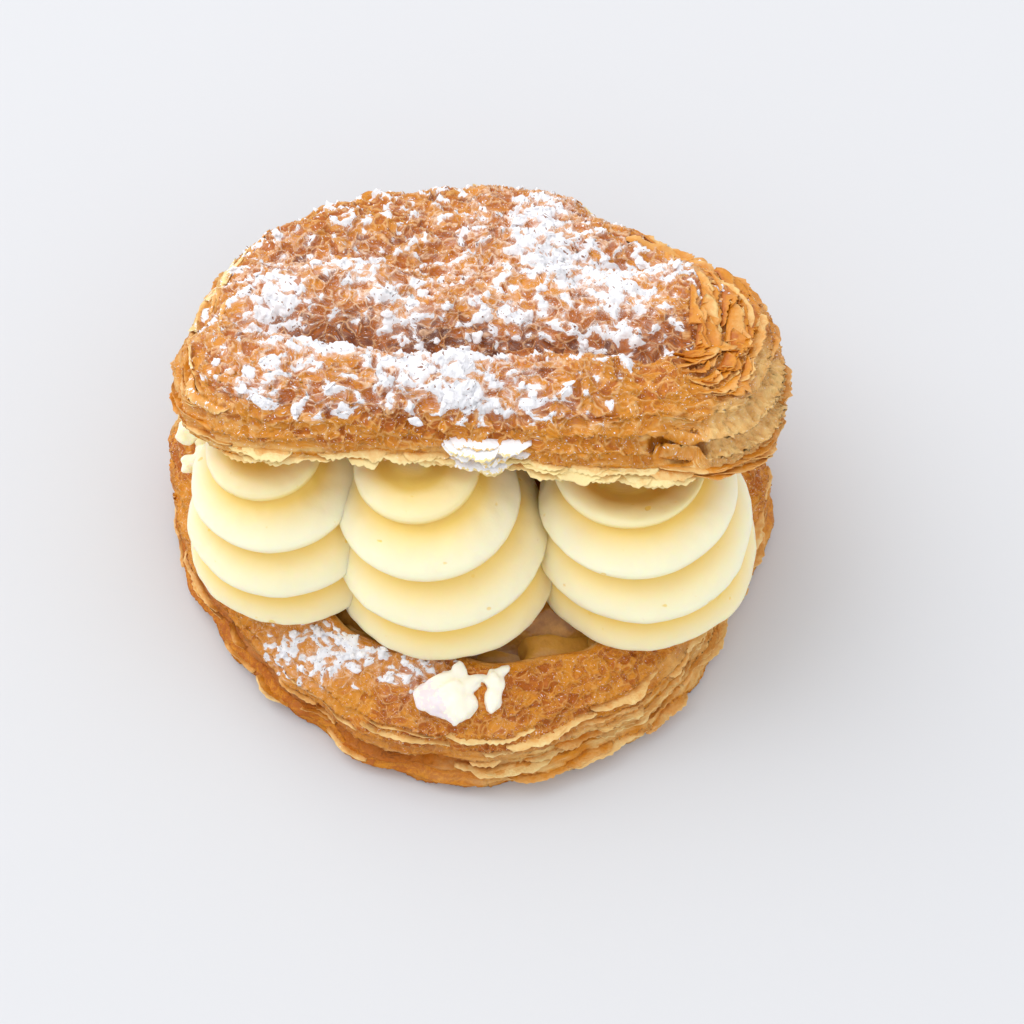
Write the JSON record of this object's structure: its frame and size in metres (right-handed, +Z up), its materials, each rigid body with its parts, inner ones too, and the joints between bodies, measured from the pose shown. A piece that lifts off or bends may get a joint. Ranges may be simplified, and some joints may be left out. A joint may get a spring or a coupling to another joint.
{
  "type": "cream filled apple turnover",
  "caption": "Round puff pastry sliced open, its top laid back on piped cream rosettes over an apple filling.",
  "frame": {"origin": "middle of the flat underside of the lower pastry, which is the middle of the whole footprint", "axes": "+Z up, +Y to the back where the lid meets the lower pastry, +X to the right seen from the open front"},
  "size_m": [0.1193, 0.118, 0.0656],
  "materials": {
    "crust": "flaky baked puff pastry, golden brown with darker valleys, blistered and dusted with icing sugar",
    "apple": "moist cooked apple, semi-gloss",
    "cream": "smooth satin custard cream, slightly translucent"
  },
  "bodies": {
    "root": {"lower_pastry": "crust", "upper_pastry": "crust", "apple_filling": "apple", "cream_rosette_front_left": "cream", "cream_rosette_front_middle": "cream", "cream_rosette_front_right": "cream", "cream_rosette_back_left": "cream", "cream_rosette_back_middle": "cream", "cream_rosette_back_right": "cream"}
  },
  "joints": []
}
